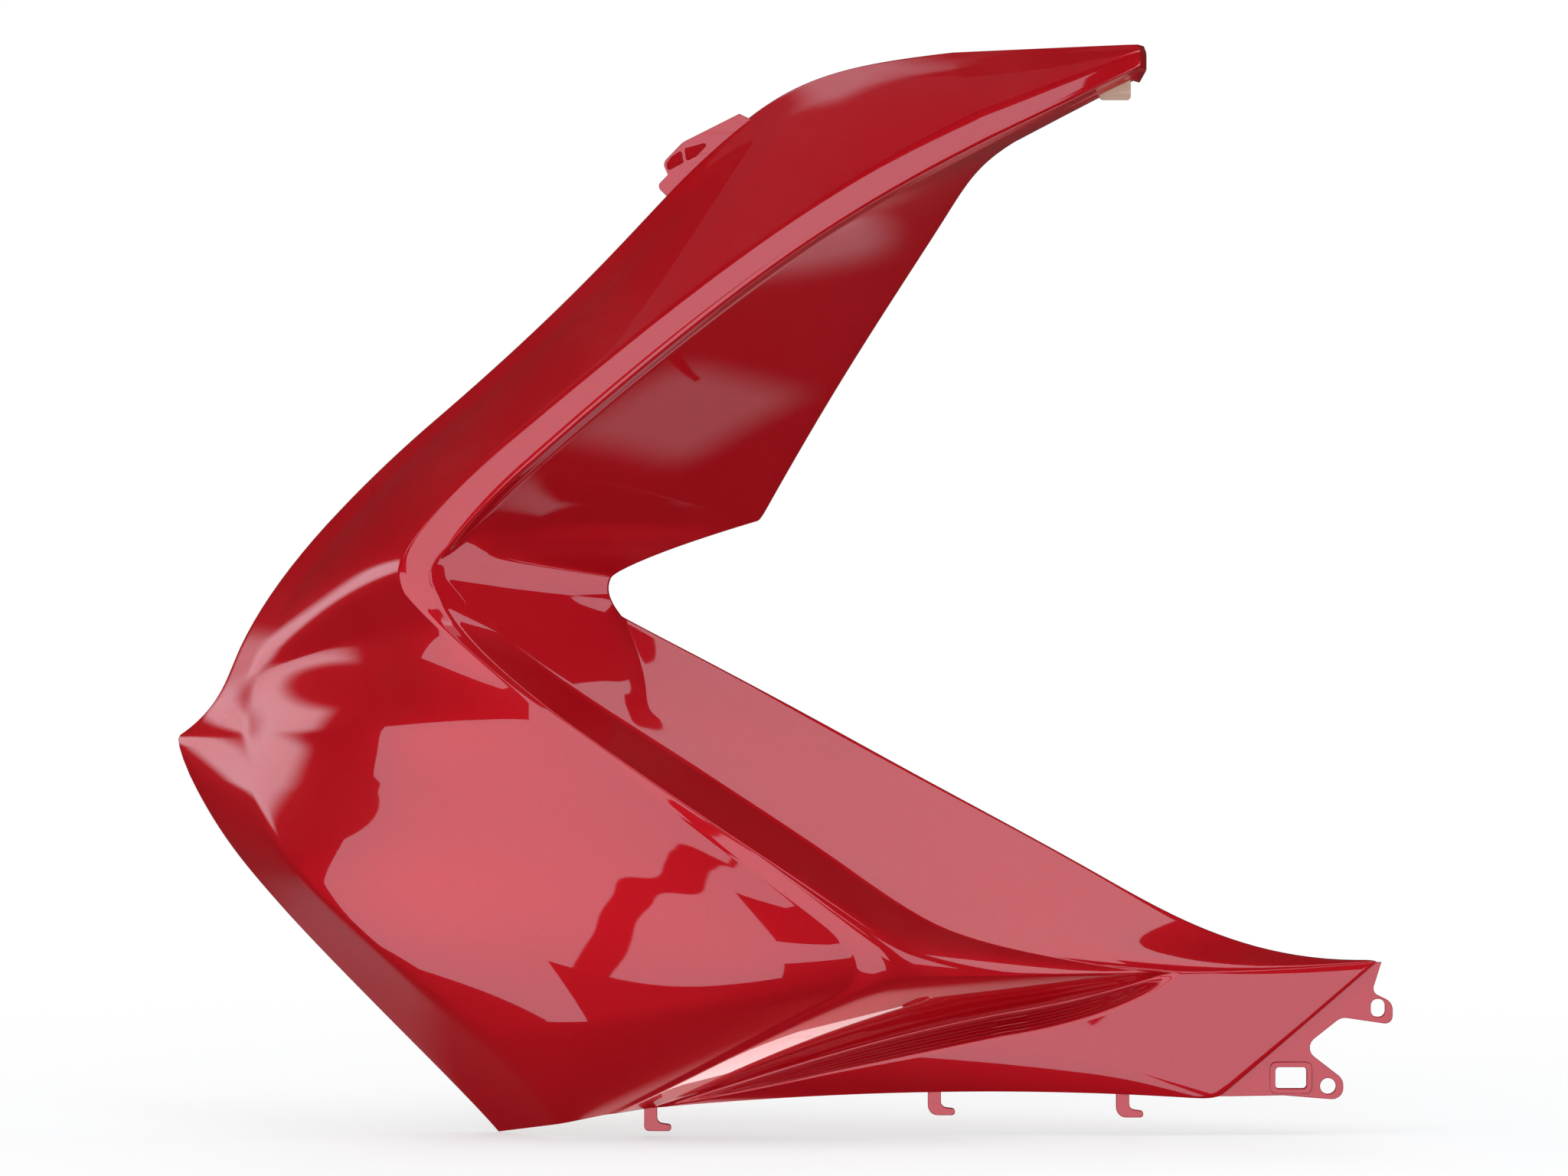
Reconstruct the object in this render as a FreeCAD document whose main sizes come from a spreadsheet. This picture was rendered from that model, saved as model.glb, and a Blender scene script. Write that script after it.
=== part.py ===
import FreeCAD, Part
import math
import os

# Side cover of a scooter's leg shield: one moulded shell with a boomerang outline.
# X runs to the rear of the scooter, Y into the scooter, Z up, in millimetres.
# The origin is the lower rear screw hole, on the outer face of the flange.

Vector = FreeCAD.Vector

SIZES = {
    "cover_length": 655, "cover_height": 589, "cover_depth": 130, "wall": 2.5,
    "band_width": 16, "leg_rib_width": 7,
    "tip_return_out": 5, "tip_return_depth": 10,
    "groove_depth": 11, "fin_height": 1.6, "fin_sink": 1.2,
    "hole_from_corner": 60, "hole_above_corner": 7, "screw_hole": 8.5,
    "flange_thick": 2.5, "flange_step": 3, "flange_lap": 8, "flange_inset": 1.5,
    "riser_width": 3, "riser_lap": 0.5,
    "tab_reach": 7.5, "tab_top": 23, "tab_foot": 35, "tab_round": 5,
    "tab_notch_in": 3.6, "tab_notch_down": 17.6, "tab_web": 20, "tab_web_down": 31,
    "lug_reach": 8.2, "lug_top": 3.7, "lug_foot": 7.6, "lug_round": 5,
    "lug_web": 13.5, "lug_web_up": 20.5, "sill_in": 24, "sill_foot": 5,
    "slot_width": 7.6, "slot_height": 9.6, "slot_round": 3.4, "slot_in": 0.4, "slot_down": 26,
    "window_width": 16.8, "window_height": 11.4, "window_in": 19.9, "window_up": 4.5,
    "frame_border": 2.9, "frame_raise": 1.2,
    "hook_width": 7, "hook_thick": 3, "hook_drop": 12.5, "hook_lap": 6, "hook_round": 4,
    "toe_reach": 7.5, "toe_thick": 4.5, "hook_inset": 0.8,
    "tongue_width": 17, "tongue_drop": 11, "tongue_thick": 2.5, "tongue_lap": 7,
    "tongue_inset": 1, "tongue_from_tip": 0.8,
    "ear_thick": 2.5, "ear_inset": 0.6, "ear_length": 60, "ear_rise": 14, "ear_peak": 28, "ear_tail": 2.5,
    "ear_stop": 9, "ear_stop_rise": 7, "ear_step": 12, "ear_lap": 6, "ear_round": 6,
}

doc = FreeCAD.newDocument("scooter_side_cover")
sheet = doc.addObject("Spreadsheet::Sheet", "sizes")
for row, (alias, value) in enumerate(SIZES.items(), start=1):
    sheet.set("A%d" % row, alias)
    sheet.set("B%d" % row, str(value))
    sheet.setAlias("B%d" % row, alias)
doc.recompute()


def size(alias):
    return float(sheet.get(alias))


# Stations run from the wing's tip round the elbow to the bottom front corner.
NOTCH, RIDGE_TOP, RIDGE_LOW, LEG, TAIL, CORNER, LAST = 6, 8, 10, 13, 18, 20, 23
STOPS = [0, NOTCH, RIDGE_TOP, RIDGE_LOW, LEG, TAIL, CORNER, LAST]
# real corners of the styling lines: the front point and the end of the vent's lip
CORNERS = {("edge", LEG), ("foot", TAIL)}

# Styling lines, one point a station, in thousandths of the cover's length, depth and height.
RAILS = {
    # free front edge
    "edge": [
        (804, 538, 996), (722, 677, 1000), (620, 785, 992), (510, 846, 970), (415, 815, 863), (321, 785, 747),
        (220, 762, 654), (183, 762, 615), (146, 769, 573), (77, 792, 493), (50, 831, 426), (43, 862, 400),
        (32, 908, 378), (0, 969, 356), (28, 815, 290), (83, 677, 219), (144, 600, 151), (189, 562, 102),
        (221, 546, 67), (231, 538, 56), (240, 531, 46), (256, 523, 28), (269, 523, 13), (279, 523, 0)],
    # rolled edge of the wing, then the chamfer along the front
    "chamfer": [
        (805, 538, 993), (725, 615, 991), (624, 708, 980), (519, 754, 954), (425, 731, 853), (330, 700, 738),
        (230, 677, 646), (193, 669, 608), (158, 669, 565), (100, 677, 493), (72, 708, 427), (67, 731, 404),
        (64, 754, 379), (55, 754, 344), (85, 415, 272), (138, 277, 213), (198, 231, 157), (235, 231, 122),
        (260, 238, 99), (269, 238, 90), (278, 246, 80), (300, 269, 57), (315, 300, 36), (333, 338, 12)],
    # crease between the front panel and the flat band
    "crease": [
        (806, 523, 989), (731, 485, 963), (643, 431, 917), (552, 377, 858), (461, 323, 788), (362, 262, 699),
        (291, 223, 637), (254, 192, 596), (223, 169, 556), (190, 154, 513), (212, 154, 483), (234, 158, 463),
        (277, 80, 424), (337, 46, 370), (425, 44, 299), (505, 42, 232), (551, 54, 193), (579, 69, 165),
        (574, 85, 148), (568, 92, 140), (554, 108, 132), (499, 154, 100), (431, 223, 56), (368, 338, 20)],
    # foot of the wall behind the band, then the lip over the vent
    "foot": [
        (806, 569, 973), (742, 546, 936), (656, 492, 887), (564, 438, 832), (477, 385, 763), (379, 323, 675),
        (312, 277, 610), (275, 246, 571), (245, 192, 535), (234, 169, 513), (236, 169, 498), (288, 222, 448),
        (344, 288, 402), (405, 370, 363), (477, 331, 307), (552, 300, 253), (614, 280, 202), (679, 277, 170),
        (814, 331, 149), (760, 331, 135), (692, 338, 127), (580, 331, 101), (492, 338, 60), (405, 385, 25)],
    # free inner edge: wing, throat, leg, rear step and bottom
    "inner": [
        (802, 600, 965), (745, 615, 933), (680, 708, 900), (655, 846, 851), (582, 969, 729), (530, 1000, 633),
        (494, 969, 561), (400, 708, 529), (373, 477, 509), (367, 466, 498), (373, 462, 485), (375, 471, 480),
        (378, 480, 476), (381, 490, 471), (505, 631, 399), (619, 646, 327), (764, 600, 243), (900, 462, 153),
        (1000, 362, 160), (934, 362, 96), (867, 362, 33), (705, 362, 46), (561, 369, 40), (430, 400, 27)],
}
# middle of the pockets and of the leg, where it isn't halfway
MIDDLE = {
    7: (331, 585, 545), 8: (305, 332, 521), 9: (302, 322, 507), 10: (304, 316, 493),
    11: (341, 359, 461), 12: (379, 403, 430), 13: (416, 446, 398), 18: (920, 354, 151)}
# lower line of the vent
VENT = {
    18: (838, 331, 149), 19: (782, 323, 108), 20: (692, 323, 93), 21: (573, 323, 65),
    22: (499, 338, 45), 23: (419, 392, 26)}
# crown of the front panel, in thousandths of the depth
CROWN = [
    0, 23, 38, 46, 46, 46, 54, 58, 62, 60, 20, -40,
    260, 320, 235, 205, 180, 170, 160, 150, 140, 100, 50, 0]
# how much of the band is left, from the wing to the thin rib of the leg
BAND_SHARE = [0.2, 0.9, 1, 1, 1, 1.1, 1.2, 1.2, 1.3, 1.5, 0.65, 0.3] + [0] * 12
REAR_CROWN = 0.8
STEEPEST = 0.35
LINE_SHARE = 0.5
GROOVE_SHARE = 0.4
GROOVE_FADE = {19: 1.0, 20: 1.0, 21: 0.8, 22: 0.4}
FIN_SHARES = (0.25, 0.55, 0.85)
FIN_HALF = 0.08
FIN_CREST = 0.05
FIN_RISE = {18: -0.4, 19: 0.8, 20: 1, 21: 0.9, 22: 0.5, 23: -0.4}
FIN_END = 0.8
HOOK_SHARES = (0.5, 0.16)


def blend(start, end, share):
    return start + (end - start) * share


def raw(point):
    along, deep, up = point
    return Vector(along * size("cover_length"), deep * size("cover_depth"), up * size("cover_height")) / 1000


REAR_CORNER = raw(RAILS["inner"][CORNER])
ORIGIN = REAR_CORNER + Vector(size("hole_from_corner"), size("flange_step"), size("hole_above_corner"))


def placed(point):
    return raw(point) - ORIGIN


def straighten(rail, station):
    """Put a pole on the line between its neighbours, so that the rail runs on smoothly."""
    before, here, after = rail[station - 1:station + 2]
    chord = after - before
    rail[station] = before + chord * ((here - before).dot(chord) / chord.dot(chord))


def running_rails():
    """Styling lines and the lines derived from them, smooth past the stations where pockets start."""
    rails = {name: [placed(point) for point in points] for name, points in RAILS.items()}
    rails["belly_front"] = []
    rails["belly_rear"] = []
    for station in range(LAST + 1):
        chamfer, crease = rails["chamfer"][station], rails["crease"][station]
        crown = Vector(0, CROWN[station] * size("cover_depth") / 1000, 0)
        rails["belly_front"].append(blend(chamfer, crease, 1 / 3) - crown)
        rails["belly_rear"].append(blend(chamfer, crease, 2 / 3) - crown * REAR_CROWN)
    for name, rail in rails.items():
        for station in STOPS[1:-1]:
            if name != "inner" and (name, station) not in CORNERS:
                straighten(rail, station)
    return rails


def outer_net():
    """Poles of the outer skin, one row of rails a station."""
    rails = running_rails()
    net = []
    for station in range(LAST + 1):
        edge, chamfer, crease, foot, inner, belly_front, belly_rear = (rail[station] for rail in rails.values())
        width = blend(size("leg_rib_width"), size("band_width"), BAND_SHARE[station])
        across = Vector(foot.x - crease.x, 0, foot.z - crease.z).normalize()
        band = crease + across * width
        middle = blend(foot, inner, 0.5)
        if station in MIDDLE:
            middle = placed(MIDDLE[station])
        vent = blend(foot, middle, LINE_SHARE)
        if station in VENT:
            vent = placed(VENT[station])
            if station > TAIL:
                middle = blend(vent, inner, 0.5)
        groove = blend(foot, vent, GROOVE_SHARE)
        groove = groove + Vector(0, size("groove_depth") * GROOVE_FADE.get(station, 0), 0)
        net.append([edge, chamfer, belly_front, belly_rear, crease, band, foot, groove, vent, middle, inner])
    turn = Vector(size("tip_return_out"), size("tip_return_depth"), 0)
    net.insert(0, [point + turn for point in net[0]])
    return net


# The tip's return comes first in the net, so a station's row is one further on.
SPANS = [(0, 1)]
SPANS += [(start + 1, end + 1) for start, end in zip(STOPS, STOPS[1:])]
BANDS = [(0, 1), (1, 4), (4, 5), (5, 6), (6, 7), (7, 8), (8, 10)]
FOOT, GROOVE, VENT_LINE, INNER = 6, 7, 8, 10


def offset_net(net, wall):
    """Inner poles, straight behind the outer ones; steep faces get more depth, to keep their wall."""
    rows, columns = len(net), len(net[0])
    lean = {}
    for i in range(rows - 1):
        for j in range(columns - 1):
            first = net[i + 1][j + 1] - net[i][j]
            second = net[i][j + 1] - net[i + 1][j]
            lean[i, j] = max(-first.cross(second).normalize().y, STEEPEST)
    sunk = []
    for i in range(rows):
        row = []
        for j in range(columns):
            around = [lean[a, b] for a in (i - 1, i) for b in (j - 1, j) if (a, b) in lean]
            row.append(net[i][j] + Vector(0, wall * len(around) / sum(around), 0))
        sunk.append(row)
    return sunk


def knots(count):
    degree = min(3, count - 1)
    pieces = count - degree
    return degree, [degree + 1] + [1] * (pieces - 1) + [degree + 1], list(range(pieces + 1))


def patch(rows):
    """Clamped spline face over a grid of poles."""
    u_degree, u_mults, u_knots = knots(len(rows))
    v_degree, v_mults, v_knots = knots(len(rows[0]))
    surface = Part.BSplineSurface()
    surface.buildFromPolesMultsKnots(
        rows, u_mults, v_mults, u_knots, v_knots, False, False, u_degree, v_degree)
    return surface.toShape()


def solid_of(faces):
    shell = Part.makeShell(faces)
    shell.sewShape()
    solid = Part.makeSolid(shell)
    if solid.Volume < 0:
        solid.reverse()
    return solid


def skin_solid(outer, inner):
    faces = []
    for start, end in SPANS:
        rows = range(start, end + 1)
        for net in (outer, inner):
            for left, right in BANDS:
                faces.append(patch([net[i][left:right + 1] for i in rows]))
        for border in (0, INNER):
            faces.append(patch([[outer[i][border], inner[i][border]] for i in rows]))
    for end in (0, len(outer) - 1):
        for left, right in BANDS:
            faces.append(patch([outer[end][left:right + 1], inner[end][left:right + 1]]))
    return solid_of(faces)


def bar(spans):
    """Closed bar over rows of four corner poles, one list of rows a span."""
    faces = []
    for rows in spans:
        for k in range(4):
            faces.append(patch([[row[k], row[(k + 1) % 4]] for row in rows]))
    for row in (spans[0][0], spans[-1][-1]):
        faces.append(patch([[row[0], row[1]], [row[3], row[2]]]))
    return solid_of(faces)


def fin_solid(net, share):
    """Long low fin on the slope of the vent, sunk into the wall at both ends."""
    rows = {}
    for station, rise in FIN_RISE.items():
        groove, vent = net[station + 1][GROOVE], net[station + 1][VENT_LINE]
        base = Vector(0, size("fin_sink"), 0)
        crest = Vector(0, -size("fin_height") * rise, 0)
        low, high = (blend(groove, vent, share + side * FIN_HALF) for side in (-1, 1))
        low_crest, high_crest = (blend(groove, vent, share + side * FIN_CREST) for side in (-1, 1))
        rows[station] = [low + base, high + base, high_crest + crest, low_crest + crest]
    rows[LAST] = [blend(start, end, FIN_END) for start, end in zip(rows[LAST - 1], rows[LAST])]
    return bar([[rows[s] for s in range(TAIL, CORNER + 1)], [rows[s] for s in range(CORNER, LAST + 1)]])


def rounded_outline(sketch, corners):
    """Closed outline of lines with an arc of its own radius at each corner."""
    points = [Vector(x, z, 0) for x, z, _ in corners]
    entries, exits, arcs = [], [], []
    for k, (_, _, radius) in enumerate(corners):
        here = points[k]
        to_last = (points[k - 1] - here).normalize()
        to_next = (points[(k + 1) % len(points)] - here).normalize()
        half = to_last.getAngle(to_next) / 2
        reach = radius / math.tan(half)
        entries.append(here + to_last * reach)
        exits.append(here + to_next * reach)
        if radius:
            crown = here + (to_last + to_next).normalize() * (radius / math.sin(half) - radius)
            arcs.append(Part.Arc(entries[k], crown, exits[k]))
    lines = [Part.LineSegment(exits[k - 1], entries[k]) for k in range(len(points))]
    sketch.addGeometry(lines + arcs, False)


def rectangle(width, height, radius, x=0, z=0):
    return [(x + sx * width / 2, z + sz * height / 2, radius)
            for sx, sz in ((-1, -1), (1, -1), (1, 1), (-1, 1))]


def sketch_on_front(body, name):
    sketch = body.newObject("Sketcher::SketchObject", name)
    front = [plane for plane in body.Origin.OriginFeatures if plane.Role == "XZ_Plane"][0]
    sketch.AttachmentSupport = [(front, "")]
    sketch.MapMode = "FlatFace"
    return sketch


def pad(body, sketch, length, inward):
    feature = body.newObject("PartDesign::Pad", sketch.Name + "_pad")
    feature.Profile = sketch
    feature.setExpression("Length", length)
    feature.Reversed = inward
    doc.recompute()
    return feature


def cut_through(body, sketch):
    before = body.Shape.Volume
    feature = body.newObject("PartDesign::Pocket", sketch.Name + "_cut")
    feature.Profile = sketch
    feature.Type = "ThroughAll"
    feature.Midplane = True
    doc.recompute()
    if body.Shape.Volume >= before:
        raise RuntimeError(sketch.Name + " cuts nothing")


def skin_feature(outer, inner):
    feature = doc.addObject("Part::Feature", "skin")
    feature.Shape = skin_solid(outer, inner)
    return feature


def fin_features(outer):
    features = []
    for number, share in enumerate(FIN_SHARES, start=1):
        feature = doc.addObject("Part::Feature", "vent_fin_%d" % number)
        feature.Shape = fin_solid(outer, share)
        features.append(feature)
    return features


def flange_body(outer):
    """Flange behind the rear step, with a slotted tab, a screw tab and a framed clip window."""
    body = doc.addObject("PartDesign::Body", "rear_flange")
    upper = outer[TAIL + 1][INNER]
    lower = outer[CORNER + 1][INNER]
    lap, inset = size("flange_lap"), size("flange_inset")
    plate = sketch_on_front(body, "flange_plate")
    rounded_outline(plate, [
        (upper.x - lap, upper.z - inset, 0),
        (upper.x + inset, upper.z - inset, 0),
        (upper.x - size("tab_notch_in"), upper.z - size("tab_notch_down"), 0),
        (upper.x + size("tab_reach"), upper.z - size("tab_top"), size("tab_round")),
        (upper.x + size("tab_reach"), upper.z - size("tab_foot"), size("tab_round")),
        (upper.x - size("tab_web"), upper.z - size("tab_web_down"), 0),
        (-size("lug_web"), size("lug_web_up"), 0),
        (size("lug_reach"), size("lug_top"), size("lug_round")),
        (size("lug_reach"), -size("lug_foot"), size("lug_round")),
        (-size("sill_in"), -size("sill_foot"), 0),
        (lower.x + lap, lower.z + inset, 0),
        (lower.x - lap, lower.z + inset, 0)])
    pad(body, plate, "sizes.flange_thick", True)
    riser = sketch_on_front(body, "flange_riser")
    rounded_outline(riser, [
        (upper.x - size("riser_width"), upper.z - inset, 0),
        (upper.x + size("riser_lap"), upper.z - inset, 0),
        (lower.x + size("riser_lap"), lower.z + inset, 0),
        (lower.x - size("riser_width"), lower.z + inset, 0)])
    pad(body, riser, "sizes.flange_step - sizes.wall / 2", False)
    window_x, window_z = -size("window_in"), size("window_up")
    border = 2 * size("frame_border")
    frame = sketch_on_front(body, "clip_frame")
    rounded_outline(frame, rectangle(
        size("window_width") + border, size("window_height") + border, 0, window_x, window_z))
    pad(body, frame, "sizes.frame_raise", False)
    window = sketch_on_front(body, "clip_window")
    rounded_outline(window, rectangle(
        size("window_width"), size("window_height"), 0, window_x, window_z))
    cut_through(body, window)
    slot = sketch_on_front(body, "tab_slot")
    rounded_outline(slot, rectangle(
        size("slot_width"), size("slot_height"), size("slot_round"),
        upper.x - size("slot_in"), upper.z - size("slot_down")))
    cut_through(body, slot)
    hole = sketch_on_front(body, "screw_hole")
    hole.addGeometry(Part.Circle(Vector(0, 0, 0), Vector(0, 0, 1), size("screw_hole") / 2), False)
    cut_through(body, hole)
    return body


def hook_body(number, seat):
    """Hook under the bottom edge, with a toe that points to the rear."""
    body = doc.addObject("PartDesign::Body", "hook_%d" % number)
    side, drop, lap = size("hook_width") / 2, size("hook_drop"), size("hook_lap")
    toe_top, toe_end = size("toe_thick") - drop, side + size("toe_reach")
    outline = sketch_on_front(body, "hook_outline_%d" % number)
    rounded_outline(outline, [
        (-side, lap, 0), (side, lap, 0), (side, toe_top, 0), (toe_end, toe_top, 0),
        (toe_end, -drop, 0), (-side, -drop, size("hook_round"))])
    pad(body, outline, "sizes.hook_thick", True)
    body.Placement.Base = seat + Vector(0, size("hook_inset"), 0)
    return body


def ear_body(outer):
    """Thin ear behind the wing's upper front edge, with a stop at its lower end."""
    body = doc.addObject("PartDesign::Body", "wing_ear")
    low, high = outer[5][0], outer[4][0]
    outline = sketch_on_front(body, "ear_outline")
    lap = size("ear_lap")
    rounded_outline(outline, [
        (0, -lap, 0), (0, size("ear_stop_rise"), 0), (size("ear_stop"), size("ear_stop_rise"), 0),
        (size("ear_step"), size("ear_rise"), 0), (size("ear_peak"), size("ear_rise"), size("ear_round")),
        (size("ear_length"), size("ear_tail"), 0), (size("ear_length") + lap / 2, -lap, 0)])
    pad(body, outline, "sizes.ear_thick", True)
    angle = math.degrees(math.atan2(high.z - low.z, high.x - low.x))
    place = low + Vector(0, size("ear_inset"), 0)
    body.Placement = FreeCAD.Placement(place, FreeCAD.Rotation(Vector(0, 1, 0), -angle))
    return body


def tongue_box(outer):
    """Flat tongue under the wing's tip, which slips behind the next panel."""
    box = doc.addObject("Part::Box", "tip_tongue")
    box.setExpression("Length", "sizes.tongue_width")
    box.setExpression("Width", "sizes.tongue_thick")
    box.setExpression("Height", "sizes.tongue_drop + sizes.tongue_lap")
    seat = outer[1][INNER]
    corner = Vector(
        -size("tongue_width") - size("tongue_from_tip"), size("tongue_inset"), -size("tongue_drop"))
    box.Placement.Base = seat + corner
    return box


def bottom_point(outer, share):
    """Point of the bottom edge, as a share of the way from the rear corner to the front."""
    poles = [outer[station + 1][INNER] for station in range(CORNER, LAST + 1)]
    curve = Part.BezierCurve()
    curve.setPoles(poles)
    return curve.value(share)


outer = outer_net()
inner = offset_net(outer, size("wall"))
pieces = [skin_feature(outer, inner)] + fin_features(outer)
pieces.append(flange_body(outer))
hook_seats = [outer[LAST + 1][FOOT]] + [bottom_point(outer, share) for share in HOOK_SHARES]
for number, seat in enumerate(hook_seats, start=1):
    pieces.append(hook_body(number, seat))
pieces.append(ear_body(outer))
pieces.append(tongue_box(outer))
cover = doc.addObject("Part::MultiFuse", "side_cover")
cover.Shapes = pieces
cover.Refine = False
doc.recompute()

for item in doc.Objects:
    if "Invalid" in item.State or "Error" in item.State:
        raise RuntimeError(item.Label + " failed: " + ", ".join(item.State))
if cover.Shape.isNull() or not cover.Shape.isValid() or len(cover.Shape.Solids) != 1:
    raise RuntimeError("side_cover is not one valid solid")
os.makedirs("parts", exist_ok=True)
cover.Shape.exportStep("parts/side_cover.step")
print("side_cover", cover.Shape.Volume, cover.Shape.BoundBox)
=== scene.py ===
import bpy
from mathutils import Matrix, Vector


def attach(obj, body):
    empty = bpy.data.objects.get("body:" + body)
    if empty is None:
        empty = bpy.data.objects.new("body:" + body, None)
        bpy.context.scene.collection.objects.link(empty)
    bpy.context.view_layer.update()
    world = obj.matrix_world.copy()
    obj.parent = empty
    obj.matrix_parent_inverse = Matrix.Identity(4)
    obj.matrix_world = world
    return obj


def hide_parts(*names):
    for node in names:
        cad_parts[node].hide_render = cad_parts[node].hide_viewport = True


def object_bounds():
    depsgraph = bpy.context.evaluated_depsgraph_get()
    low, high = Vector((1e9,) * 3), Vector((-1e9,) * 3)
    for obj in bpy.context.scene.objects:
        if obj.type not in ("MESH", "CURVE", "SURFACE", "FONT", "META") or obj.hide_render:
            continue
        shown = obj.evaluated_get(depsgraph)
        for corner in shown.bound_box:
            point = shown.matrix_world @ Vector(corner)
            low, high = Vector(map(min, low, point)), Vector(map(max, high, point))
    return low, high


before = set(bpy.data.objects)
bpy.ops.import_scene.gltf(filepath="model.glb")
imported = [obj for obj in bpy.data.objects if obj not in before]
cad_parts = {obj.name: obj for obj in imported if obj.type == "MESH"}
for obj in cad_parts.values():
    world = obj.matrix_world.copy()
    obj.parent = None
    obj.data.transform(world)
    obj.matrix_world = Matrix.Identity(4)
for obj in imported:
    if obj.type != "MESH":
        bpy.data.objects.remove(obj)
cad_box = [list(corner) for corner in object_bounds()]

import bpy
import math
import numpy as np
from mathutils import Matrix, Vector

# Scooter side cover in red lacquer, hung upright in a pale studio.
# Lengths below are millimetres in the frame of the part; meshes are written in metres.
MM = 0.001
LENGTH, DEPTH, HEIGHT = 655.0, 130.0, 589.0
WALL = 2.5
BAND_WIDTH, LEG_RIB_WIDTH = 16.0, 7.0
TIP_RETURN = np.array([5.0, 10.0, 0.0])
GROOVE_DEPTH = 11.0
HOLE_FROM_CORNER, HOLE_ABOVE_CORNER, FLANGE_STEP = 60.0, 7.0, 3.0

# Stations from the wing's tip to the bottom's front end, and those where the skin's spans meet.
NOTCH, RIDGE_TOP, RIDGE_LOW, LEG, TAIL, CORNER, LAST = 6, 8, 10, 13, 18, 20, 23
STOPS = [0, NOTCH, RIDGE_TOP, RIDGE_LOW, LEG, TAIL, CORNER, LAST]
CORNERS = {("edge", LEG), ("foot", TAIL)}

# Styling lines, one point a station, in thousandths of the cover's length, depth and height.
RAILS = {
    # free front edge
    "edge": [
        (804, 538, 996), (722, 677, 1000), (620, 785, 992), (510, 846, 970), (415, 815, 863), (321, 785, 747),
        (220, 762, 654), (183, 762, 615), (146, 769, 573), (77, 792, 493), (50, 831, 426), (43, 862, 400),
        (32, 908, 378), (0, 969, 356), (28, 815, 290), (83, 677, 219), (144, 600, 151), (189, 562, 102),
        (221, 546, 67), (231, 538, 56), (240, 531, 46), (256, 523, 28), (269, 523, 13), (279, 523, 0)],
    # rolled edge of the wing, then the chamfer along the front
    "chamfer": [
        (805, 538, 993), (725, 615, 991), (624, 708, 980), (519, 754, 954), (425, 731, 853), (330, 700, 738),
        (230, 677, 646), (193, 669, 608), (158, 669, 565), (100, 677, 493), (72, 708, 427), (67, 731, 404),
        (64, 754, 379), (55, 754, 344), (85, 415, 272), (138, 277, 213), (198, 231, 157), (235, 231, 122),
        (260, 238, 99), (269, 238, 90), (278, 246, 80), (300, 269, 57), (315, 300, 36), (333, 338, 12)],
    # crease between the front panel and the flat band
    "crease": [
        (806, 523, 989), (731, 485, 963), (643, 431, 917), (552, 377, 858), (461, 323, 788), (362, 262, 699),
        (291, 223, 637), (254, 192, 596), (223, 169, 556), (190, 154, 513), (212, 154, 483), (234, 158, 463),
        (277, 80, 424), (337, 46, 370), (425, 44, 299), (505, 42, 232), (551, 54, 193), (579, 69, 165),
        (574, 85, 148), (568, 92, 140), (554, 108, 132), (499, 154, 100), (431, 223, 56), (368, 338, 20)],
    # foot of the wall behind the band, then the lip over the vent
    "foot": [
        (806, 569, 973), (742, 546, 936), (656, 492, 887), (564, 438, 832), (477, 385, 763), (379, 323, 675),
        (312, 277, 610), (275, 246, 571), (245, 192, 535), (234, 169, 513), (236, 169, 498), (288, 222, 448),
        (344, 288, 402), (405, 370, 363), (477, 331, 307), (552, 300, 253), (614, 280, 202), (679, 277, 170),
        (814, 331, 149), (760, 331, 135), (692, 338, 127), (580, 331, 101), (492, 338, 60), (405, 385, 25)],
    # free inner edge: wing, throat, leg, rear step and bottom
    "inner": [
        (802, 600, 965), (745, 615, 933), (680, 708, 900), (655, 846, 851), (582, 969, 729), (530, 1000, 633),
        (494, 969, 561), (400, 708, 529), (373, 477, 509), (367, 466, 498), (373, 462, 485), (375, 471, 480),
        (378, 480, 476), (381, 490, 471), (505, 631, 399), (619, 646, 327), (764, 600, 243), (900, 462, 153),
        (1000, 362, 160), (934, 362, 96), (867, 362, 33), (705, 362, 46), (561, 369, 40), (430, 400, 27)],
}
# Points between the foot and the inner edge, where they are not halfway.
MIDDLE = {
    7: (331, 585, 545), 8: (305, 332, 521), 9: (302, 322, 507), 10: (304, 316, 493),
    11: (341, 359, 461), 12: (379, 403, 430), 13: (416, 446, 398), 18: (920, 354, 151)}
# Line where the vent ends below its fins.
VENT = {
    18: (838, 331, 149), 19: (782, 323, 108), 20: (692, 323, 93), 21: (573, 323, 65),
    22: (499, 338, 45), 23: (419, 392, 26)}
# Bulge of the front panel, in thousandths of the depth.
CROWN = [
    0, 23, 38, 46, 46, 46, 54, 58, 62, 60, 20, -40,
    260, 320, 235, 205, 180, 170, 160, 150, 140, 100, 50, 0]
# Width of the band: 0 is the rib on the leg, 1 the band on the wing. Stations 14 to 20 pass
# the belly's rear corner.
BAND_SHARE = [
    0.2, 0.9, 1, 1, 1, 1.1, 1.2, 1.2, 1.3, 1.5, 0.65, 0.3,
    0, 0, 0.2, 0.6, 1.2, 1.6, 1.4, 0.9, 0.4, 0, 0, 0]
# Shares of the bulge's rear half, of the leaning wall, and of the lines between the foot and the vent.
REAR_CROWN = 0.8
STEEPEST = 0.35
LINE_SHARE = 0.5
GROOVE_SHARE = 0.4
GROOVE_FADE = {19: 1.0, 20: 1.0, 21: 0.8, 22: 0.4}
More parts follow.
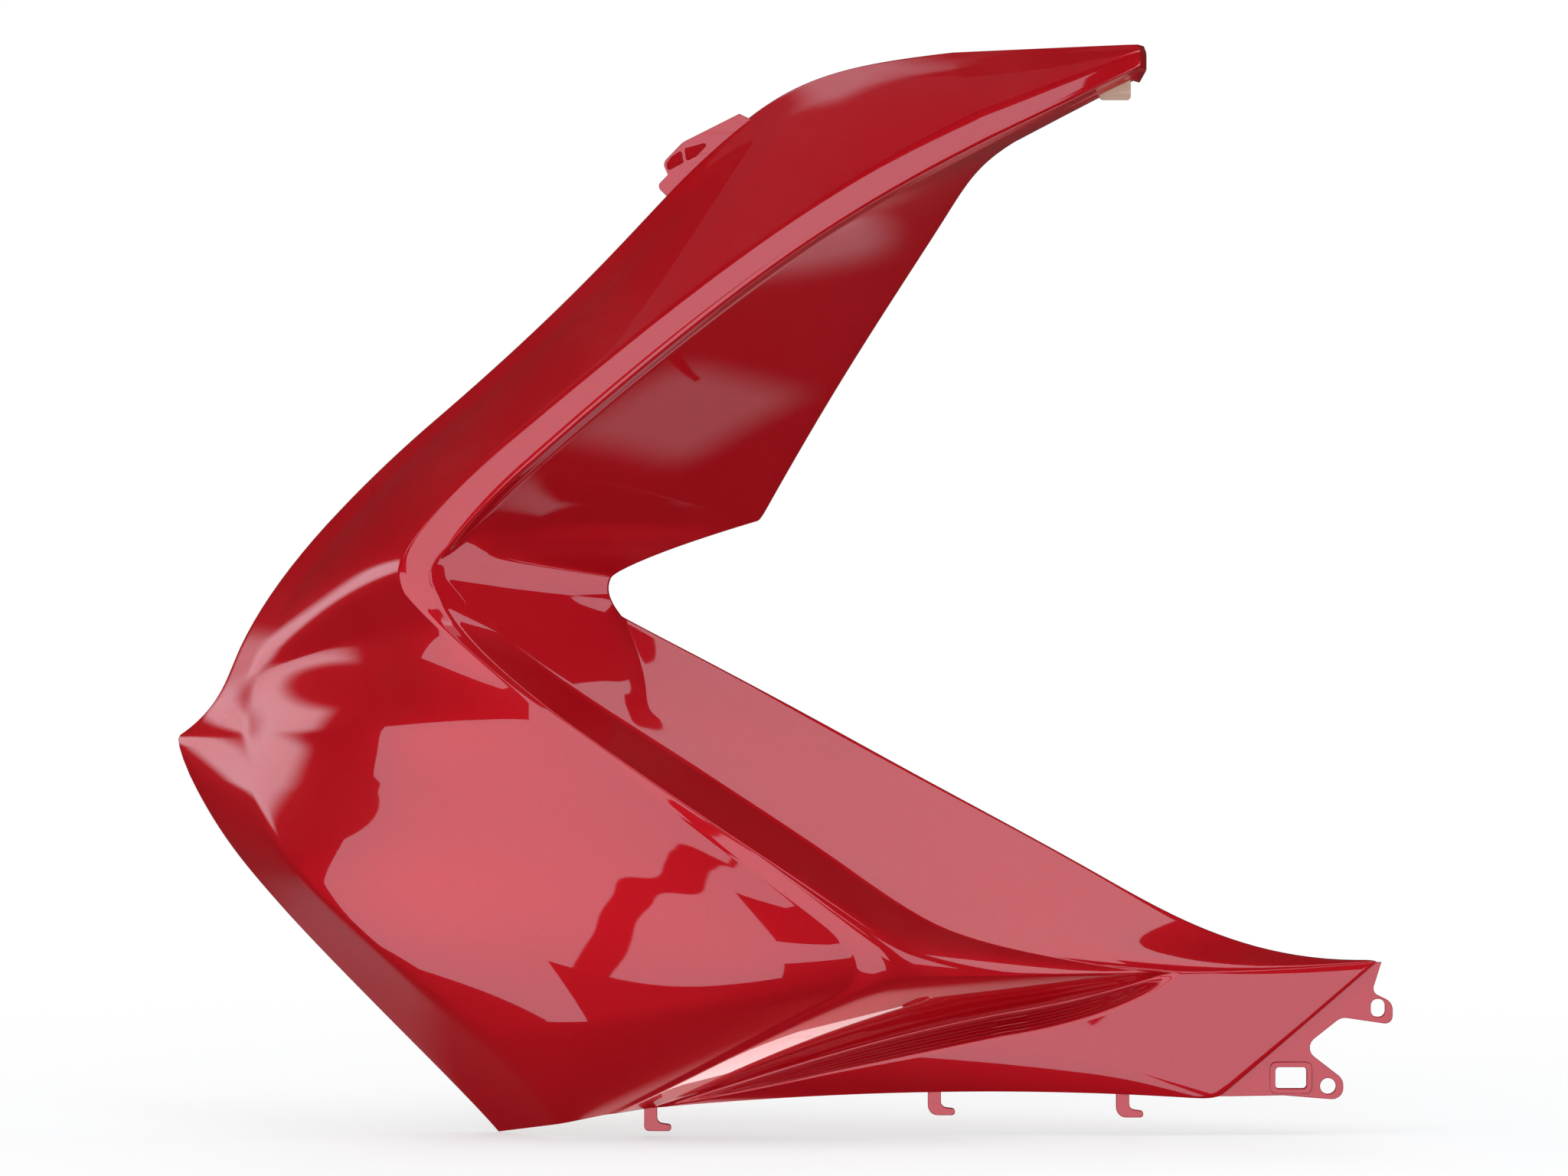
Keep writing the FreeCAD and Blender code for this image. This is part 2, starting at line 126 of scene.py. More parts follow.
# Fins of the vent: places across it, half widths as shares of it, height and how deep they root.
FIN_SHARES = (0.25, 0.55, 0.85)
FIN_HALF, FIN_CREST, FIN_HEIGHT, FIN_SINK = 0.08, 0.05, 1.6, 1.2
FIN_RISE = {18: -0.4, 19: 0.8, 20: 1, 21: 0.9, 22: 0.5, 23: -0.4}
FIN_END = 0.8
FIN_COUNTS = (26, 36)
FIN_ROUNDING = [0.2, 0.2, 0.9, 0.9]

# Columns of the pole net, the spans between its stops and the bands across it.
CREASE, FOOT, GROOVE, VENT_LINE, INNER = 4, 6, 7, 8, 10
SPANS = [(0, 1)] + [(a + 1, b + 1) for a, b in zip(STOPS, STOPS[1:])]
BANDS = [(0, 1), (1, 4), (4, 5), (5, 6), (6, 7), (7, 8), (8, 10)]


# Poles of the skin, from the styling lines

def raw(point):
    """Millimetres from thousandths of the cover's size."""
    return np.array(point) * (LENGTH, DEPTH, HEIGHT) / 1000


ORIGIN = raw(RAILS["inner"][CORNER]) + (HOLE_FROM_CORNER, FLANGE_STEP, HOLE_ABOVE_CORNER)


def placed(point):
    """Millimetres from the lower screw hole."""
    return raw(point) - ORIGIN


def straighten(rail, station):
    """Puts a station on the line of its neighbours, so that two spans meet without a kink."""
    before, here, after = rail[station - 1], rail[station], rail[station + 1]
    chord = after - before
    rail[station] = before + chord * np.dot(here - before, chord) / np.dot(chord, chord)


def styling_lines():
    """The rails in place, with the two lines of the bulge added."""
    rails = {name: [placed(point) for point in points] for name, points in RAILS.items()}
    rails["belly_front"] = []
    rails["belly_rear"] = []
    for station in range(LAST + 1):
        chamfer, crease = rails["chamfer"][station], rails["crease"][station]
        crown = np.array([0, CROWN[station] * DEPTH / 1000, 0])
        rails["belly_front"].append(chamfer + (crease - chamfer) / 3 - crown)
        rails["belly_rear"].append(chamfer + (crease - chamfer) * 2 / 3 - crown * REAR_CROWN)
    for name, rail in rails.items():
        for station in STOPS[1:-1]:
            if name != "inner" and (name, station) not in CORNERS:
                straighten(rail, station)
    return rails


def skin_poles():
    """Net of poles of the outer face, with the return at the wing's tip as its first row."""
    rails = styling_lines()
    net = []
    for station in range(LAST + 1):
        edge, chamfer, crease, foot, inner, belly_front, belly_rear = (rail[station] for rail in rails.values())
        width = LEG_RIB_WIDTH + (BAND_WIDTH - LEG_RIB_WIDTH) * BAND_SHARE[station]
        across = (foot - crease) * (1, 0, 1)
        band = crease + across / np.linalg.norm(across) * width
        middle = (foot + inner) / 2
        if station in MIDDLE:
            middle = placed(MIDDLE[station])
        vent = foot + (middle - foot) * LINE_SHARE
        if station in VENT:
            vent = placed(VENT[station])
            if station > TAIL:
                middle = (vent + inner) / 2
        groove = foot + (vent - foot) * GROOVE_SHARE + (0, GROOVE_DEPTH * GROOVE_FADE.get(station, 0), 0)
        net.append([edge, chamfer, belly_front, belly_rear, crease, band, foot, groove, vent, middle, inner])
    net.insert(0, [point + TIP_RETURN for point in net[0]])
    return np.array(net)


def back_poles(net):
    """Poles of the hidden side, straight behind the outer ones and deeper on steep faces."""
    first = net[1:, 1:] - net[:-1, :-1]
    second = net[:-1, 1:] - net[1:, :-1]
    facing = np.cross(first, second)
    lean = np.maximum(-facing[..., 1] / np.linalg.norm(facing, axis=-1), STEEPEST)
    rows, columns = net.shape[:2]
    total = np.zeros((rows, columns))
    count = np.zeros((rows, columns))
    for a in (0, 1):
        for b in (0, 1):
            total[a:rows - 1 + a, b:columns - 1 + b] += lean
            count[a:rows - 1 + a, b:columns - 1 + b] += 1
    sunk = net.copy()
    sunk[..., 1] += WALL * count / total
    return sunk


# Smooth sheets over the poles, with every edge rounded

def weights(count, places):
    """Weights of a clamped even spline's poles at places from 0 to 1."""
    degree = min(3, count - 1)
    pieces = count - degree
    knots = np.array([0.0] * degree + list(range(pieces + 1)) + [float(pieces)] * degree)
    t = np.clip(np.asarray(places, float), 0, 1 - 1e-12) * pieces
    basis = np.array([(t >= knots[i]) & (t < knots[i + 1]) for i in range(len(knots) - 1)], float)
    for d in range(1, degree + 1):
        higher = np.zeros((len(basis) - 1, len(t)))
        for i in range(len(basis) - 1):
            left, right = knots[i + d] - knots[i], knots[i + d + 1] - knots[i + 1]
            if left > 0:
                higher[i] += (t - knots[i]) / left * basis[i]
            if right > 0:
                higher[i] += (knots[i + d + 1] - t) / right * basis[i + 1]
        basis = higher
    return basis.T


ROUND_STEPS = np.array([0.25, 0.5, 0.75])
LENGTH_STEPS = 9
MOST_ROUNDED = 0.4


def rounding(before, corner, after):
    """Points of the curve that cuts a corner between two points on its sides."""
    s = ROUND_STEPS.reshape((-1,) + (1,) * before.ndim)
    return before * (1 - s) ** 2 + corner * 2 * s * (1 - s) + after * s ** 2


def rounded_run(curves, counts, radii):
    """Points along a closed run of curves, each given by its poles; corners are rounded by their radius."""
    lengths = []
    for poles in curves:
        line = weights(len(poles), np.linspace(0, 1, LENGTH_STEPS)) @ poles
        lengths.append(np.linalg.norm(np.diff(line, axis=0), axis=1).sum() + 1e-9)
    total = len(curves)
    points = []
    stretches = []
    for k in range(total):
        head = min(radii[k] / lengths[k], MOST_ROUNDED)
        tail = min(radii[(k + 1) % total] / lengths[k], MOST_ROUNDED)
        stretches.append(weights(len(curves[k]), np.linspace(head, 1 - tail, counts[k])) @ curves[k])
    for k in range(total):
        points.extend(stretches[k])
        points.extend(rounding(stretches[k][-1], curves[k][-1], stretches[(k + 1) % total][0]))
    return np.array(points)


# Rings a span and points a band, and how far the lines where they meet are rounded.
SPAN_COUNTS = [3, 70, 12, 10, 30, 64, 16, 40]
SPAN_ROUNDING = [0.2, 0.012, 0.10, 0.12, 0.06, 0.02, 0.04]
BAND_COUNTS = [8, 40, 5, 10, 6, 6, 30]
CREASE_BEND = 2
BEND_ROUNDING = [5.0, 2.0, 1.5, 2.5, 2.0, 3.0]
RIM_ROUNDING, RIM_COUNT = 0.7, 2
MIST_REACH = 28.0
NOSE_REACH, NOSE_PASSES, NOSE_SOFT = 45.0, 40, 9.0


def skin_rows(outer, back):
    """Closed rings of points round the wall, one ring a place along the cover."""
    def ring(span, place):
        start, end = SPANS[span]
        share = weights(end - start + 1, [place])[0]
        front = np.tensordot(share, outer[start:end + 1], 1)
        rear = np.tensordot(share, back[start:end + 1], 1)
        curves = [front[a:b + 1] for a, b in BANDS]
        curves.append(np.array([front[INNER], rear[INNER]]))
        curves += [rear[a:b + 1][::-1] for a, b in reversed(BANDS)]
        curves.append(np.array([rear[0], front[0]]))
        bends = list(BEND_ROUNDING)
        from_nose = np.linalg.norm(front[CREASE] - outer[TAIL + 1, CREASE])
        bends[CREASE_BEND] += NOSE_SOFT * max(0.0, 1 - from_nose / (2 * NOSE_REACH))
        radii = [RIM_ROUNDING] + bends + [RIM_ROUNDING, RIM_ROUNDING] + bends[::-1] + [RIM_ROUNDING]
        return rounded_run(curves, BAND_COUNTS + [RIM_COUNT] + BAND_COUNTS[::-1] + [RIM_COUNT], radii)

    rows = []
    for span, count in enumerate(SPAN_COUNTS):
        head = SPAN_ROUNDING[span - 1] if span else 0
        tail = SPAN_ROUNDING[span] if span < len(SPAN_ROUNDING) else 0
        if span:
            rows.extend(rounding(rows[-1], ring(span, 0), ring(span, head)))
        for place in np.linspace(head, 1 - tail, count):
            rows.append(ring(span, place))
    return np.array(rows)


def mesh_piece(name, points, faces, materials, choice=None, smooth_angle=40):
    """Smooth-shaded piece from points in millimetres; edges steeper than the angle stay sharp."""
    mesh = bpy.data.meshes.new(name)
    mesh.from_pydata([tuple(p) for p in np.asarray(points) * MM], [], faces)
    for material in materials:
        mesh.materials.append(material)
    if choice is not None:
        mesh.polygons.foreach_set("material_index", choice)
    mesh.polygons.foreach_set("use_smooth", [True] * len(mesh.polygons))
    mesh.set_sharp_from_angle(angle=math.radians(smooth_angle))
    mesh.update()
    piece = bpy.data.objects.new(name, mesh)
    bpy.context.scene.collection.objects.link(piece)
    return piece


def ease_nose(rows, nose):
    """Rounds the belly's rear corner, most at the corner itself."""
    share = np.clip(1 - np.linalg.norm(rows - nose, axis=-1) / NOSE_REACH, 0, 1)[1:-1, :, None]
    for _ in range(NOSE_PASSES):
        rows[1:-1] += (rows[:-2] + rows[2:] - 2 * rows[1:-1]) / 4 * share
    return rows


# Points of a ring: the outer face first, then the inner rim, the hidden face and the front rim.
ROUND_COUNT = len(ROUND_STEPS)
RIM = RIM_COUNT + 2 * ROUND_COUNT
OUTSIDE = sum(BAND_COUNTS) + ROUND_COUNT * (len(BANDS) - 1)
MIRROR = 2 * OUTSIDE + RIM - 1
LACQUER, BARE = 0, 1


def skin_piece(rows, lacquer, bare):
    """The closed wall, lacquered outside and round its rims, with a measure of how near the rim each point is."""
    count, around = rows.shape[:2]
    hidden = range(OUTSIDE + RIM - 1, MIRROR + ROUND_COUNT)
    faces = []
    choice = []
    for i in range(count - 1):
        for j in range(around):
            k = (j + 1) % around
            faces.append((i * around + j, (i + 1) * around + j, (i + 1) * around + k, i * around + k))
            choice.append(BARE if j in hidden else LACQUER)
    for row in (0, count - 1):
        base = row * around
        for j in range(OUTSIDE - 1):
            quad = (base + j, base + j + 1, base + MIRROR - j - 1, base + MIRROR - j)
            faces.append(quad if row == 0 else quad[::-1])
            choice.append(LACQUER)
        for ends in (range(OUTSIDE - 1, OUTSIDE + RIM + 1), range(MIRROR, around + 1)):
            face = tuple(base + j % around for j in ends)
            faces.append(face if row == 0 else face[::-1])
            choice.append(LACQUER)
    piece = mesh_piece("cover_skin", rows.reshape(-1, 3), faces, [lacquer, bare], choice)
    rims = rows[:, [0, OUTSIDE + ROUND_COUNT]]
    reach = np.linalg.norm(rows[:, :, None] - rims[:, None], axis=-1).min(axis=2)
    reach = np.minimum(reach, np.linalg.norm(rows - rows[:1], axis=-1))
    reach = np.minimum(reach, np.linalg.norm(rows - rows[-1:], axis=-1))
    near_rim = piece.data.attributes.new("near_rim", "FLOAT", "POINT")
    near_rim.data.foreach_set("value", np.clip(1 - reach.ravel() / MIST_REACH, 0, 1))
    return piece


# Pin marks: ring and place across it, and the profile of one as radius and height.
PIN_SPOTS = [
    (25, 24), (25, 40), (45, 24), (45, 40), (65, 24), (65, 40), (50, 108), (68, 108), (122, 22), (122, 40),
    (150, 20), (150, 38), (172, 20), (172, 38), (150, 108), (172, 108), (192, 108)]
PIN_PROFILE = [(4.0, -0.6), (4.0, 0.3), (3.8, 0.45), (3.2, 0.45), (2.9, 0.15), (0.0, 0.15)]


def pin_mark_piece(rows, bare, steps=28):
    """Round marks that the mould's pushing pins leave on the hidden side."""
    points = []
    faces = []
    for row, column in PIN_SPOTS:
        column = MIRROR - column
        along = rows[row + 1, column] - rows[row - 1, column]
        over = rows[row, column + 1] - rows[row, column - 1]
        out = np.cross(along, over)
        out *= np.sign(out[1]) / np.linalg.norm(out)
        side = along / np.linalg.norm(along)
        other = np.cross(out, side)
        base = len(points)
        for radius, height in PIN_PROFILE[:-1]:
            for angle in np.linspace(0, 2 * math.pi, steps, endpoint=False):
                points.append(
                    rows[row, column] + out * height
                    + (side * math.cos(angle) + other * math.sin(angle)) * radius)
        rings = len(PIN_PROFILE) - 1
        for ring in range(rings - 1):
            for k in range(steps):
                after = (k + 1) % steps
                low, high = base + ring * steps, base + (ring + 1) * steps
                faces.append((low + k, low + after, high + after, high + k))
        last = base + (rings - 1) * steps
        points.append(rows[row, column] + out * PIN_PROFILE[-1][1])
        faces += [(last + k, last + (k + 1) % steps, len(points) - 1) for k in range(steps)]
        faces.append(tuple(base + k for k in reversed(range(steps))))
    return mesh_piece("pin_marks", points, faces, [bare])


# Small moulded pieces, extruded from outlines with rounded corners

def outline_points(corners, steps=6, every=0):
    """Points round an outline whose corners have radii of their own, or the same one everywhere."""
    points = [np.array(corner[:2]) for corner in corners]
    run = []
    for k, corner in enumerate(corners):
        radius = every or corner[2]
        here = points[k]
        back, ahead = points[k - 1] - here, points[(k + 1) % len(points)] - here
        back, ahead = back / np.linalg.norm(back), ahead / np.linalg.norm(ahead)
        if not radius:
            run.append(here)
            continue
        half = math.acos(np.clip(np.dot(back, ahead), -1, 1)) / 2
        middle = back + ahead
        centre = here + middle / np.linalg.norm(middle) * radius / math.sin(half)
        start, end = here + back * radius / math.tan(half), here + ahead * radius / math.tan(half)
        first = math.atan2(*(start - centre)[::-1])
        turn = math.atan2(*(end - centre)[::-1]) - first
        turn = (turn + math.pi) % (2 * math.pi) - math.pi
        for s in np.linspace(0, 1, steps):
            run.append(centre + radius * np.array([math.cos(first + turn * s), math.sin(first + turn * s)]))
    return run


def rectangle(width, height, radius, x=0, z=0):
    return [(x + sx * width / 2, z + sz * height / 2, radius) for sx, sz in ((-1, -1), (1, -1), (1, 1), (-1, 1))]


def circle(radius, x=0, z=0, steps=40):
    return [np.array([x + radius * math.cos(a), z + radius * math.sin(a)])
            for a in np.linspace(0, 2 * math.pi, steps, endpoint=False)]


PLATE_SHARP = 35


def plate_piece(name, loops, front, thick, material, soften=0.35, place=None):
    """Flat moulded plate between y = front and front + thick, with its holes and softened edges."""
    curve = bpy.data.curves.new(name, "CURVE")
    curve.dimensions = "2D"
    curve.fill_mode = "BOTH"
    curve.extrude = (thick / 2 - soften) * MM
    curve.bevel_depth = soften * MM
    curve.bevel_resolution = 2
    curve.offset = -soften * MM
    for loop in loops:
        spline = curve.splines.new("POLY")
        spline.points.add(len(loop) - 1)
        for point, (x, z) in zip(spline.points, loop):
            point.co = (x * MM, z * MM, 0, 1)
        spline.use_cyclic_u = True
    holder = bpy.data.objects.new(name, curve)
    bpy.context.scene.collection.objects.link(holder)
    bpy.context.view_layer.update()
    mesh = bpy.data.meshes.new_from_object(holder.evaluated_get(bpy.context.evaluated_depsgraph_get()))
    bpy.data.objects.remove(holder)
    bpy.data.curves.remove(curve)
    stand = Matrix(((1, 0, 0, 0), (0, 0, -1, (front + thick / 2) * MM), (0, 1, 0, 0), (0, 0, 0, 1)))
    mesh.transform((place or Matrix()) @ stand)
    mesh.materials.clear()
    mesh.materials.append(material)
    mesh.polygons.foreach_set("use_smooth", [True] * len(mesh.polygons))
    mesh.set_sharp_from_angle(angle=math.radians(PLATE_SHARP))
    mesh.name = name
    piece = bpy.data.objects.new(name, mesh)
    bpy.context.scene.collection.objects.link(piece)
    return piece


def shift(point, turn=0.0):
    """Place at a point, turned about the depth direction."""
    return Matrix.Translation(Vector(point) * MM) @ Matrix.Rotation(turn, 4, "Y")


# Openings of the flange: width, height and corner radius, and the hole's radius.
CLIP_WINDOW, CLIP_BORDER, CLIP_PLACE = (16.8, 11.4, 2), (22.6, 17.2, 3.45), (-19.9, 4.5)
TAB_SLOT = (7.6, 9.6, 3.4)
SCREW_HOLE = 4.25


def flange_pieces(outer, lacquer):
    """Rear flange with its two tabs, and the raised border of the clip window."""
    upper, lower = outer[TAIL + 1, INNER], outer[CORNER + 1, INNER]
    lap, inset = 8, 1.5
    plate = outline_points([
        (upper[0] - lap, upper[2] - inset, 0), (upper[0] + inset, upper[2] - inset, 0),
        (upper[0] - 3.6, upper[2] - 17.6, 4), (upper[0] + 7.5, upper[2] - 23, 6),
        (upper[0] + 7.5, upper[2] - 35, 4), (upper[0] - 20, upper[2] - 31, 7),
        (-13.5, 20.5, 6), (8.2, 3.7, 6.5), (8.2, -7.6, 6), (-24, -5, 0),
        (lower[0] + lap, lower[2] + inset, 0), (lower[0] - lap, lower[2] + inset, 0)])
    window = outline_points(rectangle(*CLIP_WINDOW, *CLIP_PLACE))
    border = outline_points(rectangle(*CLIP_BORDER, *CLIP_PLACE))
    slot = outline_points(rectangle(*TAB_SLOT, upper[0] - 0.4, upper[2] - 26))
    flange = plate_piece("rear_flange", [plate, window, slot, circle(SCREW_HOLE)], 0, WALL, lacquer)
    clip = plate_piece("clip_frame", [border, window], front=-1.2, thick=1.6, material=lacquer, soften=0.4)
    return [flange, clip]


HOOK_SHARES = (0.5, 0.16)
HOOK_HEELS = (2.6, 5.2, 5.2)


def hook_pieces(outer, lacquer):
    """Three hooks below the bottom edge, the first at its front end."""
    bottom_edge = outer[CORNER + 1:LAST + 2, INNER]
    seats = [outer[LAST + 1, FOOT]] + [weights(len(bottom_edge), [share])[0] @ bottom_edge for share in HOOK_SHARES]
    side, root, drop, reach, toe = 3.5, 6, 12.5, 7.5, 4.5
    throat_radius, toe_radius, toe_slope = 3.2, 1.7, 0.9
    hooks = []
    for number, (seat, heel) in enumerate(zip(seats, HOOK_HEELS), start=1):
        outline = outline_points([
            (-side, root, 0), (side, root, 0), (side, toe - drop, throat_radius),
            (side + reach, toe - drop - toe_slope, toe_radius), (side + reach, -drop, toe_radius),
            (-side, -drop, heel)])
        hooks.append(plate_piece(
            "bottom_hook_%d" % number, [outline], front=0.8, thick=3, material=lacquer, soften=0.4,
            place=shift(seat)))
    return hooks


EAR_LOW, EAR_HIGH = 4, 3


def ear_pieces(outer, lacquer):
    """Ear on the wing's edge: a plate with two shallow pockets whose floors slope down behind a rib."""
    low, high = outer[EAR_LOW + 1, 0], outer[EAR_HIGH + 1, 0]
    place = shift(low, -math.atan2(high[2] - low[2], high[0] - low[0]))
    outline = outline_points([
        (0, -6, 0), (0, 6.8, 2.8), (8.8, 6.8, 1.2), (11.2, 13.4, 4.2), (27, 13.6, 9), (60, 2.5, 0), (63, -6, 0)])
    pockets = [
        outline_points([(10.6, 8.4), (19.6, 5.6), (23.4, 10.8), (17, 12.1), (12.4, 11.4)], 4, 0.9),
        outline_points([(21.4, 5.0), (27, 3.0), (37.5, 3.2), (25.4, 10.2)], 4, 0.9)]
    front, layer, overlap = 0.6, 0.5, 0.05
    back = front + WALL - layer
    deepest, slope = 1.95, 1.75
    ear = [
        plate_piece("wing_ear", [outline] + pockets, front, WALL - layer, lacquer, 0.3, place),
        plate_piece("wing_ear_back", [outline], back - overlap, layer + overlap, lacquer, 0.2, place)]
    for number, pocket in enumerate(pockets, start=1):
        heights = [z for _, z in pocket]
        lowest, highest = min(heights), max(heights)
        floor = [(x, front + deepest - slope * (z - lowest) / (highest - lowest), z) for x, z in pocket]
        rear = [(x, back + 2 * overlap, z) for x, z in pocket]
        count = len(floor)
        faces = [tuple(range(count)), tuple(reversed(range(count, 2 * count)))]
        faces += [(k, k + count, (k + 1) % count + count, (k + 1) % count) for k in range(count)]
        wedge = mesh_piece("ear_pocket_%d" % number, floor + rear, faces, [lacquer], smooth_angle=25)
        wedge.data.transform(place)
        ear.append(wedge)
    return ear


def tongue_piece(outer, bare):
    """Unpainted tongue under the wing's tip."""
    left, right, low, high, radius = -17.8, -0.8, -11, 7, 2
    outline = outline_points([(left, low, radius), (right, low, radius), (right, high, 0), (left, high, 0)])
    return plate_piece("tip_tongue", [outline], 1, WALL, bare, 0.4, shift(outer[1, INNER]))


def fin_pieces(outer, lacquer):
    """Fins along the vent, from below the tail to the bottom's front end."""
    fins = []
    for number, share in enumerate(FIN_SHARES, start=1):
        rows = {}
        for station, rise in FIN_RISE.items():
            groove, vent = outer[station + 1, GROOVE], outer[station + 1, VENT_LINE]
            base, crest = np.array([0, FIN_SINK, 0]), np.array([0, -FIN_HEIGHT * rise, 0])
            low, high = (groove + (vent - groove) * (share + side * FIN_HALF) for side in (-1, 1))
            low_crest, high_crest = (groove + (vent - groove) * (share + side * FIN_CREST) for side in (-1, 1))
            rows[station] = np.array([low + base, high + base, high_crest + crest, low_crest + crest])
        rows[LAST] = rows[LAST - 1] + (rows[LAST] - rows[LAST - 1]) * FIN_END
        first = np.array([rows[s] for s in range(TAIL, CORNER + 1)])
        second = np.array([rows[s] for s in range(CORNER, LAST + 1)])
        run = np.concatenate([
            np.tensordot(weights(len(first), np.linspace(0, 1, FIN_COUNTS[0])), first, 1),
            np.tensordot(weights(len(second), np.linspace(0, 1, FIN_COUNTS[1])), second, 1)[1:]])
        rings = []
        for ring in run:
            sides = [np.array([ring[k], ring[(k + 1) % 4]]) for k in range(4)]
            rings.append(rounded_run(sides, [2] * 4, FIN_ROUNDING))
        around = len(rings[0])
        faces = []
        for i in range(len(rings) - 1):
            for j in range(around):
                k = (j + 1) % around
                faces.append((i * around + j, i * around + k, (i + 1) * around + k, (i + 1) * around + j))
        faces.append(tuple(reversed(range(around))))
        faces.append(tuple((len(rings) - 1) * around + j for j in range(around)))
        fins.append(mesh_piece("vent_fin_%d" % number, np.concatenate(rings), faces, [lacquer]))
    return fins


# Finishes

def shader_group(name, inputs, outputs):
    group = bpy.data.node_groups.new(name, "ShaderNodeTree")
    for label, kind, value in inputs:
        socket = group.interface.new_socket(label, in_out="INPUT", socket_type=kind)
        if value is not None:
            socket.default_value = value
    for label, kind in outputs:
        group.interface.new_socket(label, in_out="OUTPUT", socket_type=kind)
    entry = group.nodes.new("NodeGroupInput")
    leave = group.nodes.new("NodeGroupOutput")
    return group, entry, leave


def node(tree, kind, **values):
    made = tree.nodes.new(kind)
    for key, value in values.items():
        if key in made.inputs:
            made.inputs[key].default_value = value
        else:
            setattr(made, key, value)
    return made


def ramp(tree, source, low, high, start=0.0, end=1.0):
    """Value that runs smoothly from start to end while the source goes from low to high."""
    made = node(tree, "ShaderNodeMapRange", interpolation_type="SMOOTHSTEP")
    for label, value in (("From Min", low), ("From Max", high), ("To Min", start), ("To Max", end)):
        made.inputs[label].default_value = value
    tree.links.new(source, made.inputs["Value"])
    return made.outputs["Result"]


def times(tree, first, second):
    made = node(tree, "ShaderNodeMath", operation="MULTIPLY")
    for socket, value in zip(made.inputs, (first, second)):
        if isinstance(value, float):
            socket.default_value = value
        else:
            tree.links.new(value, socket)
    return made.outputs["Value"]


def settled_dust():
    """Thin uneven dust, thicker on what faces up."""
    group, entry, leave = shader_group(
        "settled_dust",
        [("Vector", "NodeSocketVector", None), ("Scale", "NodeSocketFloat", 14.0),
         ("Amount", "NodeSocketFloat", 0.2)],
        [("Dust", "NodeSocketFloat"), ("Specks", "NodeSocketFloat")])
    link = group.links.new
    cloud = node(group, "ShaderNodeTexNoise", Detail=6.0, Roughness=0.62)
    link(entry.outputs["Vector"], cloud.inputs["Vector"])
    link(entry.outputs["Scale"], cloud.inputs["Scale"])
    facing = node(group, "ShaderNodeNewGeometry")
    split = node(group, "ShaderNodeSeparateXYZ")
    link(facing.outputs["Normal"], split.inputs["Vector"])
    lying = ramp(group, split.outputs["Z"], -0.2, 0.9, 0.25, 1.0)
    film = times(group, ramp(group, cloud.outputs["Fac"], 0.42, 0.72), lying)
    link(times(group, film, entry.outputs["Amount"]), leave.inputs["Dust"])
    grains = node(group, "ShaderNodeTexVoronoi", Scale=260.0, Randomness=1.0)
    link(entry.outputs["Vector"], grains.inputs["Vector"])
    dots = ramp(group, grains.outputs["Distance"], 0.03, 0.09, 1.0, 0.0)
    chosen = node(group, "ShaderNodeSeparateColor")
    link(grains.outputs["Color"], chosen.inputs["Color"])
    few = ramp(group, chosen.outputs["Red"], 0.86, 0.9)
    link(times(group, times(group, dots, few), entry.outputs["Amount"]), leave.inputs["Specks"])
    return group


def hair_scratches():
    """Faint hairlines of handling and polishing, in patches and in two directions."""
    group, entry, leave = shader_group(
        "hair_scratches",
        [("Vector", "NodeSocketVector", None), ("Scale", "NodeSocketFloat", 60.0),
         ("Amount", "NodeSocketFloat", 0.3)],
        [("Scratches", "NodeSocketFloat")])
    link = group.links.new
    layers = []
    for turn, across in ((0.5, 0.05), (-0.9, 0.04)):
        lay = node(group, "ShaderNodeMapping")
        lay.inputs["Rotation"].default_value = (0.3, turn, 0.2)
        lay.inputs["Scale"].default_value = (across, 0.4, 1.0)
        link(entry.outputs["Vector"], lay.inputs["Vector"])
        lines = node(group, "ShaderNodeTexNoise", Detail=3.0, Roughness=0.7)
        link(lay.outputs["Vector"], lines.inputs["Vector"])
        link(entry.outputs["Scale"], lines.inputs["Scale"])
        off = node(group, "ShaderNodeMath", operation="SUBTRACT")
        off.inputs[1].default_value = 0.5
        link(lines.outputs["Fac"], off.inputs[0])
        size = node(group, "ShaderNodeMath", operation="ABSOLUTE")
        link(off.outputs["Value"], size.inputs[0])
        layers.append(ramp(group, size.outputs["Value"], 0.001, 0.006, 1.0, 0.0))
    both = node(group, "ShaderNodeMath", operation="MAXIMUM")
    link(layers[0], both.inputs[0])
    link(layers[1], both.inputs[1])
    patches = node(group, "ShaderNodeTexNoise", Scale=9.0, Detail=2.0)
    link(entry.outputs["Vector"], patches.inputs["Vector"])
    shown = times(group, both.outputs["Value"], ramp(group, patches.outputs["Fac"], 0.5, 0.68))
    link(times(group, shown, entry.outputs["Amount"]), leave.inputs["Scratches"])
    return group


def fine_speckle():
    """Tiny grains of random brightness: flakes in the lacquer, pigment and grain in the plastic."""
    group, entry, leave = shader_group(
        "fine_speckle",
        [("Vector", "NodeSocketVector", None), ("Scale", "NodeSocketFloat", 1800.0)],
        [("Grain", "NodeSocketFloat"), ("Drift", "NodeSocketFloat")])
    link = group.links.new
    cells = node(group, "ShaderNodeTexVoronoi")
    link(entry.outputs["Vector"], cells.inputs["Vector"])
    link(entry.outputs["Scale"], cells.inputs["Scale"])
    split = node(group, "ShaderNodeSeparateColor")
    link(cells.outputs["Color"], split.inputs["Color"])
    link(split.outputs["Green"], leave.inputs["Grain"])
    drift = node(group, "ShaderNodeTexNoise", Scale=7.0, Detail=3.0, Roughness=0.5)
    link(entry.outputs["Vector"], drift.inputs["Vector"])
    link(drift.outputs["Fac"], leave.inputs["Drift"])
    return group


DUST, SCRATCHES, SPECKLE = settled_dust(), hair_scratches(), fine_speckle()


